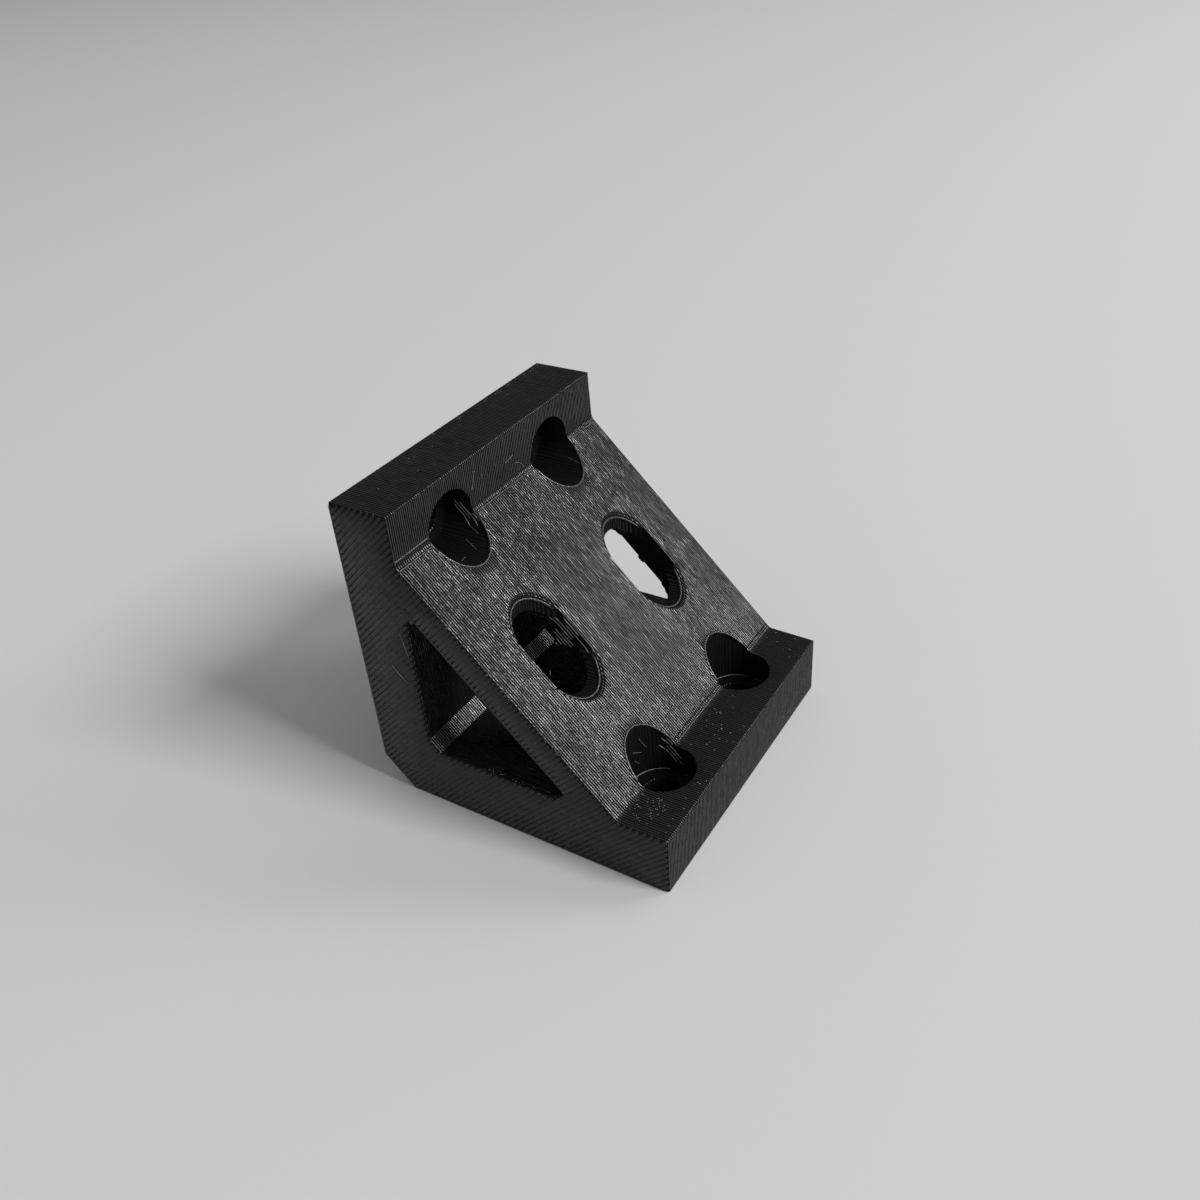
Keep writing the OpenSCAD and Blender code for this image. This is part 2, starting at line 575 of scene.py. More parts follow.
def bore_layers(look, centre, radius):
    """The first layer that a bore opens, and how many it opens. It is at least two lines wide in each."""
    bed, height = layer_levels(look)
    half = math.sqrt(radius**2 - look.laid.line**2)
    first = math.ceil((bed - centre - half) / height - 0.5)
    last = math.floor((bed - centre + half) / height - 0.5)
    return first, last - first + 1


def lifted(along, up, angle, reach):
    """A point of a cutter beside a mouth's corner, lifted clear of the face."""
    return (along + LIFT_LENGTH * math.cos(angle), up + LIFT_LENGTH * math.sin(angle), 0.0, reach)


def bore_sections(s, laid):
    """Side-view sections of the bores as (name, radius, gap, corners), for one bolt column.

    A corner's radius rounds the edge of the mouth, as the nozzle rounds it in each layer. Where two
    bores share a mouth, the gap is half the distance between their ways there.
    """
    fold = outer_row(s)
    found = []
    for along in (inner_row(s), fold):
        radius = s.head_bore / 2
        left, right, up_slope = (-radius, 0), (radius, 0), (-radius, radius)
        mouth = s.thickness + fold - along
        inner = along < fold
        corners = [(along, s.seat, 0.0, left), (along, s.seat, 0.0, right)]
        if not inner:
            corners += [(along, s.thickness, laid.corner_r, right), lifted(along, s.thickness, LIFT, right)]
        corners += [
            (along, s.leg, 0.0, right),
            (along, s.leg, 0.0, (0, 0)),
            lifted(along, mouth, math.radians(135) - LIFT, up_slope),
        ]
        foot, wall = (
            corners + [(along, mouth, rounding, up_slope)]
            for rounding in (laid.mouth_r if inner else laid.corner_r, laid.corner_r)
        )
        gap = (mouth - along) / 2 if inner else 0.0
        found += [("head_bore", radius, gap, foot), ("head_bore", radius, gap, mirrored(wall))]
        radius = s.bolt_hole / 2
        left, right = (-radius, 0), (radius, 0)
        corners = [
            lifted(along, 0, -LIFT, right),
            (along, 0, laid.corner_r, right),
            (along, s.seat, laid.corner_r, right),
            lifted(along, s.seat, LIFT, right),
            lifted(along, s.seat, math.pi - LIFT, left),
            (along, s.seat, laid.corner_r, left),
            (along, 0, laid.corner_r, left),
            lifted(along, 0, math.pi + LIFT, left),
        ]
        found += [("bolt_hole", radius, 0.0, corners), ("bolt_hole", radius, 0.0, mirrored(corners))]
    return found


class BRACKET_OT_layers(bpy.types.Operator):
    """Stack the bracket's printed layers and open its channel and bores"""

    bl_idname = "bracket.layers"
    bl_label = "Printed Layers"

    def execute(self, context):
        look = context.scene.bracket_look
        s, laid = look.sizes, look.laid
        material = plastic(look, "layered_filament")
        tree = layer_tree()
        bed, height = layer_levels(look)
        inner_edge, outer_edge = bore_edges(s)
        shared = {
            "Bed": bed,
            "Layer Height": height,
            "Inner Edge": inner_edge,
            "Outer Edge": outer_edge,
            "Stepping": laid.stepping,
            "Seed": laid.seed,
            "Material": material,
        }

        def stack(name, corners, side, span=(0, laid.layers), centre=0.0, radius=1.0, gap=0.0):
            """One stack of layers, with its beads bulging out of it or, on a cutter, into it."""
            values = shared | {
                "First Layer": span[0],
                "Layers": span[1],
                "Groove Depth": side * laid.groove,
                "Layer Wobble": side * laid.layer_wobble,
                "Line Wobble": side * laid.line_wobble,
                "Edge Step": max(side, 0) * laid.edge_step,
                "Bore Centre": centre,
                "Bore Radius": radius,
                "Least Chord": MOUTH_LAP * gap / radius,
            }
            return run_tree(tree, section_mesh(name, trace(corners, laid.station)), values)

        body = stack("body", outline_corners(s, corner_r=laid.corner_r), 1)
        cutters = [stack("channel", channel_corners(s), -1)]
        for column in (-1, 1):
            centre = MIDDLE_Y + column * s.column_pitch / 2
            for name, radius, gap, corners in bore_sections(s, laid):
                span = bore_layers(look, centre, radius)
                cutters.append(stack(name, corners, -1, span, centre, radius, gap))
        for path, width in grooves(s, laid):
            values = {"Width": width, "Height": width, "Material": material}
            cutters.append(run_tree(bead_tree(), path_mesh("groove", [path]), values))
        printed = cut(body, cutters)
        clear_slivers(printed)
        smooth_by_angle(printed, SHARP_ANGLE)
        mark_shine_and_painted_light(printed, s, laid.seed)
        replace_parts(piece("printed_bracket", printed, material), NODE)
        return {"FINISHED"}


def mark_shine_and_painted_light(mesh, s, seed):
    """Mark how much each face shines: the bores little, as painted shade, and the dashes beside them and the
    flat the most, as painted sheen.
    """
    flat = np.empty(3 * len(mesh.polygons), np.float32)
    mesh.polygons.foreach_get("center", flat)
    along, across, up = (flat.reshape(-1, 3) - placed((0, 0, 0))).T
    off = np.abs(across) - s.column_pitch / 2
    shine = np.ones(len(mesh.polygons), np.float32)
    near = np.zeros_like(shine)
    for side, depth in ((along, up), (up, along)):
        for row in (inner_row(s), outer_row(s)):
            away = np.hypot(side - row, off)
            near = np.maximum(near, 1 - (away - s.head_bore / 2) / DASH_REACH)
            # Bore walls get little gloss: painted shade in the recesses
            shine[(away < s.head_bore / 2 + WALL_SLACK) & (depth > s.seat - WALL_SLACK)] = BORE_PAINTED_SHADE
            shine[(away < s.bolt_hole / 2 + WALL_SLACK) & (depth > WALL_SLACK)] = BORE_PAINTED_SHADE
    # Gloss raised at random beside the mouths: a painted sheen for the brighter patches there
    dashes = np.random.default_rng(seed).random(len(shine)) ** DASH_FALL * np.clip(near, 0, 1)
    on_slope = (np.abs(along + up - s.thickness - outer_row(s)) < SLOPE_SLACK) & (shine == 1)
    shine[on_slope] += (DASH_PAINTED_SHEEN - 1) * dashes[on_slope]
    # The flat gets the most gloss though it is printed like the other faces: a painted sheen for the light
    # through the slots
    corner = 2 * s.thickness + s.channel_flat
    on_flat = (np.abs(along + up - corner) < SLOPE_SLACK) & (np.abs(along - up) < s.channel_flat)
    shine[on_flat] = FLAT_PAINTED_SHEEN
    mesh.attributes.new("shine", "FLOAT", "FACE").data.foreach_set("value", shine)


def cut(body, cutters):
    """The body less the cutters, as one closed mesh."""
    carrier = bpy.data.objects.new("carrier", body)
    bpy.context.scene.collection.objects.link(carrier)
    group = bpy.data.collections.new("cutters")
    bpy.context.scene.collection.children.link(group)
    tools = [bpy.data.objects.new(mesh.name, mesh) for mesh in cutters]
    for tool in tools:
        group.objects.link(tool)
    modifier = carrier.modifiers.new("Bores", "BOOLEAN")
    modifier.operation = "DIFFERENCE"
    modifier.operand_type = "COLLECTION"
    modifier.collection = group
    modifier.solver = "MANIFOLD"
    result = applied(carrier)
    for tool in [*tools, carrier]:
        mesh = tool.data
        bpy.data.objects.remove(tool)
        bpy.data.meshes.remove(mesh)
    bpy.data.collections.remove(group)
    return result


def clear_slivers(mesh):
    """Take out the faces that have next to no area, which cutting leaves behind."""
    with opened(mesh) as work:
        bmesh.ops.triangulate(work, faces=work.faces)
        bmesh.ops.dissolve_degenerate(work, dist=LEAST_EDGE, edges=work.edges)
        bmesh.ops.triangulate(work, faces=work.faces)


# Beads of plastic along a path


# Points round a bead's section, and how much of its width a bead loses at an open end
BEAD_SIDES = 10
END_TAPER = 0.5
# Scales of the noise that swells a bead and a string
BEAD_GRAIN = 900.0
HAIR_GRAIN = 3000.0
# Points along a line in a bore, along an arc or a straight groove, round a rim and along a string
LINE_POINTS = 12
ARC_POINTS = 25
RIM_POINTS = 33
HAIR_POINTS = 9
# Lines that show in a slot and in an outer bore: how many, their pitch, width and sink over the width of a
# printed line, the first one's depth over the pitch, their ends over the bore's radius, and the most that
# is trimmed off an end over their length
SLOT_LINES = 9
BORE_LINES = 4
LINE_PITCH = 1.1
LINE_WIDTH = 0.18
LINE_SINK = 0.01
FIRST_LINE = 0.7
LINE_START = 0.55
LINE_END = 0.2
LINE_TRIM = 0.45
# Where the arc round an outer seat starts and ends, in degrees
SEAT_ARC = (70, 215)
# How far a groove lies outside its slot and under the slope, and the width of the one above the fold, all
# over the width of a groove
GROOVE_OUTSIDE = 0.25
GROOVE_SINK = 0.1
FOLD_GROOVE = 0.7
# How deep the ridges at the slots and the outer bores lie under the slope, and how far the one on the upper
# land lies past the fold, all over the width of a printed line
SLOT_RIDGE_DEPTH = 0.8
BORE_RIDGE_DEPTH = 0.15
LAND_RIDGE = 0.9
# How far grooves and ridges go round a mouth, each way, in degrees
GROOVE_SWEEP = 74
SLOT_SWEEP = 66
BORE_SWEEP = 80
# How far the top skin's lines end short of an edge, and a tooth reaches along it each way, over their width
TOOTH_INSET = 0.2
TOOTH_REACH = 0.24
# The length over which the top skin's lines narrow towards the slope, and how deep the teeth lie
TOOTH_LENGTH = 0.55 * MM
TOOTH_DEPTH = 0.22 * MM
# How far the bed skin's lines end short of an edge, over their width
EDGED_INSET = 0.8


def bead_tree():
    """Geometry nodes that lay a bead of plastic along every path of a mesh of edges."""
    name = "Plastic Beads"
    if name in bpy.data.node_groups:
        return bpy.data.node_groups[name]
    numbers = ("Width", "Height", "End Taper", "Wobble", "Grain")
    tree, into = new_tree(name, Float=numbers, Rotation=["Rotation"], Vector=["Shift"])
    calc = partial(math_node, tree)
    path = put(tree, "GeometryNodeMeshToCurve", {0: into["Geometry"]})
    path = put(tree, "GeometryNodeSetCurveNormal", {"Curve": path.outputs[0]}, mode="Z_UP")
    circle = {"Resolution": BEAD_SIDES, "Radius": 0.5}
    ring = put(tree, "GeometryNodeCurvePrimitiveCircle", circle, mode="RADIUS")
    flatten = put(tree, "ShaderNodeCombineXYZ", {"X": into["Width"], "Y": into["Height"], "Z": 1.0})
    ring = put(tree, "GeometryNodeTransform", {"Geometry": ring.outputs[0], "Scale": flatten.outputs[0]})
    noise = put(tree, "ShaderNodeTexNoise", {"Scale": into["Grain"], "Detail": 1.0}, noise_dimensions="3D")
    swell = calc("MULTIPLY_ADD", noise.outputs[0], 2.0, -1.0)
    swell = calc("MULTIPLY_ADD", swell, into["Wobble"], 1.0)
    at_end = put(tree, "GeometryNodeCurveEndpointSelection").outputs[0]
    closed = put(tree, "GeometryNodeInputSplineCyclic").outputs[0]
    open_end = calc("SUBTRACT", at_end, closed, clamp=True)
    taper = calc("MULTIPLY", open_end, into["End Taper"])
    swell = calc("SUBTRACT", swell, taper)
    sweep = {"Curve": path.outputs[0], "Profile Curve": ring.outputs[0], "Scale": swell, "Fill Caps": True}
    bead = put(tree, "GeometryNodeCurveToMesh", sweep)
    smooth = put(tree, "GeometryNodeSetShadeSmooth", {"Geometry": bead.outputs[0]})
    move = {"Geometry": smooth.outputs[0], "Translation": into["Shift"], "Rotation": into["Rotation"]}
    moved = put(tree, "GeometryNodeTransform", move)
    close_tree(tree, moved.outputs[0], into["Material"])
    return tree


def path_mesh(name, paths):
    """A mesh of edges from paths of (points, closed)."""
    points, edges = [], []
    for path, closed in paths:
        start, count = len(points), len(path)
        points += [tuple(p) if len(p) == 3 else (*p, 0) for p in path]
        edges += [(start + i, start + i + 1) for i in range(count - 1)]
        edges += [(start + count - 1, start)] if closed else []
    mesh = bpy.data.meshes.new(name)
    mesh.from_pydata(points, edges, [])
    return mesh


def beads(look, name, paths, material, **values):
    """Make a piece of beads along a set of paths."""
    plain = {
        "Width": look.laid.line,
        "Height": look.laid.line,
        "End Taper": END_TAPER,
        "Wobble": look.laid.bead_wobble,
        "Grain": BEAD_GRAIN,
        "Material": material,
    }
    piece(name, run_tree(bead_tree(), path_mesh(name, paths), plain | values), material)


def placed(points):
    """Points given as (along, across, up) from the outer corner, in the frame."""
    return np.array(points) + [LOW.x, MIDDLE_Y, LOW.z]


def across_path(along, up, across):
    """An open path straight across the bracket, in the frame."""
    return placed(np.stack([np.full_like(across, along), across, np.full_like(across, up)], 1)), False


def exposed_lines(look):
    """Lines that show in the bores: on the near column's walls that faced up, and round the outer seats."""
    s, laid = look.sizes, look.laid
    rng = np.random.default_rng(laid.seed)
    fold, inner = outer_row(s), inner_row(s)
    radius = s.head_bore / 2
    centre = MIDDLE_Y - s.column_pitch / 2
    bed, height = layer_levels(look)
    wall = bed - bore_layers(look, centre, radius)[0] * height - centre
    paths = []
    for row, lines in ((inner, SLOT_LINES), (fold, BORE_LINES)):
        for k in range(lines):
            total = s.thickness + fold - (k + FIRST_LINE) * LINE_PITCH * laid.line
            low = row - LINE_START * radius
            high = total - low if row == inner else row + LINE_END * radius
            trim = rng.uniform(0, LINE_TRIM, 2) * (high - low)
            along = np.linspace(low + trim[0], high - trim[1], LINE_POINTS)
            up = total - along
            off = along - row
            if row == inner:
                off = np.where(np.abs(off) < np.abs(up - row), off, up - row)
            reach = np.minimum(np.sqrt(radius**2 - off**2), wall)
            across = reach + LINE_SINK * laid.line - s.column_pitch / 2
            path = np.stack([along, across, up], 1)
            paths.append((placed(path), False))
            if row == fold:
                paths.append((placed(path[:, ::-1]), False))
    turn = np.radians(np.linspace(*SEAT_ARC, ARC_POINTS))
    for column in (-1, 1):
        along = fold + radius * np.cos(turn)
        across = column * s.column_pitch / 2 + radius * np.sin(turn)
        paths.append((placed(np.stack([along, across, np.full_like(turn, s.seat)], 1)), False))
    return paths


class BRACKET_OT_bore_lines(bpy.types.Operator):
    """Lay the lines of plastic that show on the walls of the bores and round the outer seats"""

    bl_idname = "bracket.bore_lines"
    bl_label = "Bore Lines"

    def execute(self, context):
        look = context.scene.bracket_look
        width = LINE_WIDTH * look.laid.line
        paths = exposed_lines(look)
        # The pale plastic on these lines is a painted highlight for black lines catching the light
        beads(look, "bore_lines", paths, pale_plastic_and_painted_highlight(look), Width=width, Height=width, Wobble=0.5)
        return {"FINISHED"}


def rim_paths(s, row, outside, depth, sweep):
    """Paths round the mouths of a row of head bores, this far outside them and under the slope."""
    turn = np.radians(np.linspace(180 - sweep, 180 + sweep, RIM_POINTS))
    radius = s.head_bore / 2 + outside
    paths = []
    for column in (-1, 1):
        along = row + radius * np.cos(turn)
        across = column * s.column_pitch / 2 + radius * np.sin(turn)
        up = s.thickness + outer_row(s) - depth * math.sqrt(2) - along
        path = np.stack([along, across, up], 1)
        paths += [(placed(path), False), (placed(path[:, ::-1]), False)]
    return paths


def grooves(s, laid):
    """Grooves as (path, width): round the slots, and where the slope's lines part above the lower fold."""
    wide = laid.groove_width
    rims = rim_paths(s, inner_row(s), GROOVE_OUTSIDE * wide, GROOVE_SINK * wide, GROOVE_SWEEP)
    found = [(path, wide) for path in rims]
    along, up = outer_row(s) - laid.fold_strip, s.thickness + laid.fold_strip
    inner_edge, outer_edge = bore_edges(s)
    for low, high in ((-inner_edge, inner_edge), (outer_edge, s.width / 2 + wide)):
        found.append((across_path(along, up, np.linspace(low, high, ARC_POINTS)), FOLD_GROOVE * wide))
    return found


def rim_ridges(s, laid):
    """Raised lines where a layer's outline turns from the slope into a bore."""
    slots = rim_paths(s, inner_row(s), laid.ridge_sink, SLOT_RIDGE_DEPTH * laid.line, SLOT_SWEEP)
    return slots + rim_paths(s, outer_row(s), laid.ridge_sink, BORE_RIDGE_DEPTH * laid.line, BORE_SWEEP)


def fold_ridges(s, laid):
    """Raised lines along both folds, between the bores."""
    fold = outer_row(s)
    inner_edge, outer_edge = bore_edges(s)
    end = s.width / 2
    down, sink = laid.line * ROOT_HALF, laid.ridge_sink * ROOT_HALF
    upper = (s.thickness + down - sink, fold - down - sink)
    lower = (fold - down / 2 - sink, s.thickness + down / 2 - sink)
    land = (s.thickness - laid.ridge_sink, fold + LAND_RIDGE * laid.line)
    stretches = (
        (-end, -outer_edge, (upper, land)),
        (-inner_edge, inner_edge, (upper, lower)),
        (outer_edge, end, (upper, lower)),
    )
    paths = []
    for low, high, rows in stretches:
        across = np.arange(low + laid.line / 4, high, laid.line / 3)
        paths += [across_path(along, up, across) for along, up in rows]
    return paths


def edge_teeth(s, laid):
    """Ends of the top skin's lines, where they stand out along the slope, the upper land and the channel."""
    fold = outer_row(s)
    peak = fold - s.gusset * math.sqrt(2)
    edges = (
        ((s.thickness, fold), (fold, s.thickness)),
        ((s.thickness, s.leg), (s.thickness, fold)),
        ((s.thickness, peak), (s.thickness, s.thickness + s.channel_flat)),
    )
    first = -(s.leg - 2 * TOOTH_INSET * laid.line) * ROOT_HALF + laid.line / 2
    rows = np.arange(first, -first, laid.line)
    paths = []
    for start, end in np.array(edges):
        low, high = (start[0] - start[1]) * ROOT_HALF, (end[0] - end[1]) * ROOT_HALF
        way = (end - start) / np.linalg.norm(end - start)
        for row in rows[(rows > low + laid.line) & (rows < high - laid.line)]:
            middle = start + (end - start) * (row - low) / (high - low)
            tips = [middle + way * part * laid.line for part in (-TOOTH_REACH, 0, TOOTH_REACH)]
            paths.append((placed([(along, TOOTH_DEPTH - s.width / 2, up) for along, up in tips]), False))
    return paths


class BRACKET_OT_ridges(bpy.types.Operator):
    """Lay the raised lines at the bores' mouths, along the folds and on the near side's edges"""

    bl_idname = "bracket.ridges"
    bl_label = "Ridges"

    def execute(self, context):
        look = context.scene.bracket_look
        s, laid = look.sizes, look.laid
        material = plastic(look, "drawn_filament", look.finish.ridge_gloss)
        wide, fine = laid.ridge, laid.ridge / 2
        folds, teeth = fold_ridges(s, laid), edge_teeth(s, laid)
        beads(look, "rim_ridges", rim_ridges(s, laid), material, Width=wide, Height=wide)
        beads(look, "fold_ridges", folds, material, Width=wide, Height=wide, Wobble=0.12)
        beads(look, "edge_teeth", teeth, material, Width=fine, Height=fine, Wobble=0.4)
        return {"FINISHED"}


# Strings as (start, bend, end), each point (along, across, up) in millimetres
STRINGS = (
    ((6.8, -20.02, 24.7), (7.2, -20.08, 23.3), (7.5, -20.02, 21.6)),
    ((4.5, -20.02, 19.8), (5.2, -20.1, 18.8), (6.5, -20.02, 17.7)),
    ((8.0, 0.9, 36.2), (8.05, 1.8, 36.4), (8.0, 2.6, 36.5)),
    ((8.0, 2.6, 35.4), (8.12, 4.0, 35.1), (8.0, 4.4, 33.9)),
    ((8.0, -5.0, 38.1), (8.06, -5.2, 37.0), (8.0, -5.7, 35.9)),
    ((21.75, -13.1, 20.0), (22.0, -13.2, 20.05), (22.1, -13.6, 19.6)),
    ((25.1, -6.5, 16.6), (25.5, -6.6, 16.5), (25.3, -7.1, 16.4)),
    ((30.05, -8.49, 9.49), (30.35, -8.15, 8.6), (30.49, -7.69, 7.77)),
    ((29.76, -9.74, 8.21), (30.05, -9.0, 7.75), (30.17, -8.22, 7.26)),
    ((29.8, -9.37, 6.66), (29.95, -9.0, 6.2), (30.02, -8.55, 5.61)),
    ((7.57, -6.58, 31.69), (8.4, -6.85, 31.5), (9.13, -6.95, 31.16)),
    ((7.65, -7.65, 30.52), (8.7, -8.1, 30.35), (9.8, -8.45, 30.06)),
    ((9.45, -10.89, 29.85), (9.4, -10.4, 29.95), (9.34, -9.93, 29.75)),
    ((8.52, 13.09, 31.22), (9.6, 12.9, 31.1), (10.6, 12.82, 30.91)),
)


class BRACKET_OT_strings(bpy.types.Operator):
    """Lay the fine strings that the nozzle pulled across the faces"""

    bl_idname = "bracket.strings"
    bl_label = "Strings"

    def execute(self, context):
        look = context.scene.bracket_look
        t = np.linspace(0, 1, HAIR_POINTS)[:, None]
        paths = []
        for start, bend, end in STRINGS:
            a, b, c = placed(np.array([start, bend, end]) * MM)
            paths.append(((1 - t) ** 2 * a + 2 * t * (1 - t) * b + t**2 * c, False))
        material, width = pale_plastic_and_painted_highlight(look), look.laid.hair
        beads(
            look, "strings", paths, material,
            Width=width, Height=width, Wobble=0.3, Grain=HAIR_GRAIN,
        )
        return {"FINISHED"}


# Crumbs of plastic on the faces

# Patches as (low corner, high corner, crumbs in a square millimetre), with each corner (along, across, up)
# in millimetres
PATCHES = (
    ((33.9, -18.6, 8.0), (37.6, -14.6, 8.0), 3.2),
    ((34.3, -5.4, 8.0), (39.3, 5.4, 8.0), 0.6),
    ((34.3, 14.6, 8.0), (39.0, 19.4, 8.0), 0.3),
    ((38.2, -19.0, 8.0), (39.5, -5.6, 8.0), 0.7),
    ((0.4, -4.0, 40.0), (1.0, 19.4, 40.0), 1.6),
    ((1.0, -18.0, 40.0), (7.4, 19.0, 40.0), 0.03),
    ((8.0, -6.0, 36.0), (8.0, -3.0, 38.5), 0.4),
    ((11.0, -5.2, 30.75), (31.0, 5.2, 10.75), 0.02),
    ((15.5, -19.85, 8.0), (26.0, -19.2, 8.0), 4.0),
)


# Least and greatest scale of a crumb along its axes, and the most that it is turned about each
CRUMB_LEAST = (0.4, 0.4, 0.3)
CRUMB_MOST = (1.4, 1.1, 0.7)
CRUMB_TURN = (6.3, 6.3, 6.3)


def crumb_tree():
    """Geometry nodes that scatter crumbs of plastic over patches, as thick as their attribute says."""
    tree, into = new_tree("Crumbs", Float=["Size"], Int=["Seed"])
    thick = put(tree, "GeometryNodeInputNamedAttribute", {"Name": "thick"}, data_type="FLOAT")
    spread = {"Mesh": into["Geometry"], "Density": thick.outputs[0], "Seed": into["Seed"]}
    spots = put(tree, "GeometryNodeDistributePointsOnFaces", spread, distribute_method="RANDOM")
    crumb = put(tree, "GeometryNodeMeshIcoSphere", {"Radius": into["Size"], "Subdivisions": 1})
    turn, grow = (
        put(tree, "FunctionNodeRandomValue", {0: least, 1: most}, data_type="FLOAT_VECTOR")
        for least, most in (((0, 0, 0), CRUMB_TURN), (CRUMB_LEAST, CRUMB_MOST))
    )
    placing = {"Points": spots.outputs["Points"], "Instance": crumb.outputs[0]}
    shaping = {"Rotation": turn.outputs[0], "Scale": grow.outputs[0]}
    many = put(tree, "GeometryNodeInstanceOnPoints", placing | shaping)
    close_tree(tree, many.outputs[0], into["Material"])
    return tree


class BRACKET_OT_crumbs(bpy.types.Operator):
    """Scatter the crumbs of plastic that cling to the faces"""

    bl_idname = "bracket.crumbs"
    bl_label = "Crumbs"

    def execute(self, context):
        look = context.scene.bracket_look
        points, faces, thick = [], [], []
        for (a, b, c), (d, e, f), per_mm2 in PATCHES:
            faces.append(range(len(points), len(points) + 4))
            points += [(a, b, c), (d, b, f), (d, e, f), (a, e, c)]
            thick.append(per_mm2 / MM**2)
        mesh = bpy.data.meshes.new("crumbs")
        mesh.from_pydata([tuple(p) for p in placed(np.array(points) * MM)], [], faces)
        mesh.attributes.new("thick", "FLOAT", "FACE").data.foreach_set("value", thick)
        material = pale_plastic_and_painted_highlight(look)
        values = {"Size": look.laid.speck, "Seed": look.laid.seed, "Material": material}
        piece("crumbs", run_tree(crumb_tree(), mesh, values), material)
        return {"FINISHED"}


# Skins of straight lines on the two sides


def infill_rows(loops, direction, pitch):
    """Stretches of parallel lines inside a set of loops, as (offset, [(low, high), ...])."""
    side = np.array([direction[1], -direction[0]])
    offsets = np.concatenate([loop @ side for loop in loops])
    rows = []
    for offset in np.arange(offsets.min() + pitch / 2, offsets.max(), pitch):
        crossings = []
        for loop in loops:
            gap, depth = loop @ side - offset, loop @ direction
            for i in range(len(loop)):
                j = (i + 1) % len(loop)
                if (gap[i] < 0) != (gap[j] < 0):
                    crossings.append(depth[i] + (depth[j] - depth[i]) * gap[i] / (gap[i] - gap[j]))
        crossings.sort()
        pairs = zip(crossings[::2], crossings[1::2])
        rows.append((offset, [(low, high) for low, high in pairs if high - low > pitch]))
    return rows


def blunt(corners, tip):
    """An open path through some corners, with a point a tip's length from each end, where it is blunt."""
    path = [np.array(corner[:2]) for corner in corners]
    for end, after in ((0, 1), (-1, -2)):
        way = path[after] - path[end]
        path.insert(after if end == 0 else -1, path[end] + way * tip / np.linalg.norm(way))
    return path


def skin(look, name, material, direction, rise, level, edged):
    """Make one side's skin of lines from edge to edge, with a bead round each outline if it is edged.

    A skin that isn't edged has a bead only along the back, the foot and the gusset's inner face.
    """
    s, laid = look.sizes, look.laid
    half = laid.line / 2
    if edged:
        inset, tooth = EDGED_INSET * laid.line, half / 2
        outer, inner = trace(outline_corners(s, half, laid.corner_r)), trace(channel_corners(s, half))
        edges = [(outer[0], True), (inner[0], True)]
    else:
        inset, tooth = TOOTH_INSET * laid.line, TOOTH_LENGTH
        outer, inner = outline_corners(s, half), channel_corners(s, half)
        edges = [(blunt(outer[-2:] + outer[:2], half), False), (blunt(inner[1:3], half), False)]
    loops = [trace(outline_corners(s, inset))[0], trace(channel_corners(s, inset))[0]]
    way = np.array(direction)
    side = np.array([way[1], -way[0]])
    lines = []
    for offset, stretches in infill_rows(loops, way, laid.line):
        for low, high in stretches:
            ends = (low, low + half / 2, high - tooth, high)
            lines.append(([side * offset + way * end for end in ends], False))
    beads(
        look, name, edges + lines, material, Width=laid.overlap * laid.line, Height=2 * rise,
        Rotation=(math.radians(90), 0, 0), Shift=(LOW.x, level, LOW.z),
    )


class BRACKET_OT_skins(bpy.types.Operator):
    """Lay the straight lines of the top skin and the bed skin"""

    bl_idname = "bracket.skins"
    bl_label = "Side Skins"

    def execute(self, context):
        look = context.scene.bracket_look
        material = plastic(look, "flat_filament", look.finish.skin_gloss)
        top, bed = look.laid.top_rise, look.laid.bed_rise
        skin(look, "top_skin", material, (ROOT_HALF, ROOT_HALF), top, LOW.y + top, False)
        skin(look, "bed_skin", material, (ROOT_HALF, -ROOT_HALF), bed, HIGH.y - bed, True)
        return {"FINISHED"}


# Materials


# Scales of the noises along the three axes, the part of the streaks in their mix, and their usual ranges
STREAK_SCALE = (760, 5200, 760)
MOTTLE_SCALE = (130, 130, 130)
GRAIN_SCALE = (9000, 9000, 9000)
STREAK_SHARE = 0.6
STREAK_RANGE = (0.3, 0.7)
MOTTLE_RANGE = (0.35, 0.65)
# Depth of the relief, its strength in smooth and rough patches and on the flat, and the part of the grain
RELIEF_DEPTH = 0.085 * MM
PATCH_RELIEF = (0.5, 1.7)
FLAT_RELIEF = 0.25
GRAIN_RELIEF = 0.06
# From where to where a layer's gloss falls, from its middle and over its height
GLOSS_FALL = (0.1, 0.27)
PLASTIC_IOR = 1.6
# Scale of the pale plastic's shades, the darkest of them over its colour, and its roughness
CRUMB_GRAIN = 1500.0
CRUMB_SHADE = 0.25
CRUMB_ROUGHNESS = 0.35


def new_material(name):
    """A new node material, with its tree, its shader's inputs and the object's own coordinates."""
    material = bpy.data.materials.new(name)
    material.use_nodes = True
    tree = material.node_tree
    where = put(tree, "ShaderNodeTexCoord").outputs["Object"]
    return material, tree, tree.nodes["Principled BSDF"].inputs, where


def layer_gloss(look, tree, where, shine):
    """Gloss that falls from the middle of each layer to its grooves, times how much the face shines. The low
    gloss in the grooves is partly their rougher bottom and partly painted shade for the occlusion in them.
    """
    calc = partial(math_node, tree)
    bed, height = layer_levels(look)
    above_bed = calc("SUBTRACT", bed, split(tree, where)["Y"])
    layer = calc("FRACT", calc("DIVIDE", above_bed, height))
    from_middle = calc("ABSOLUTE", calc("SUBTRACT", layer, 0.5))
    gloss = remap(tree, from_middle, GLOSS_FALL, (look.finish.layer_gloss, look.finish.groove_gloss_and_shade))
    return calc("MULTIPLY", gloss, shine, clamp=True)


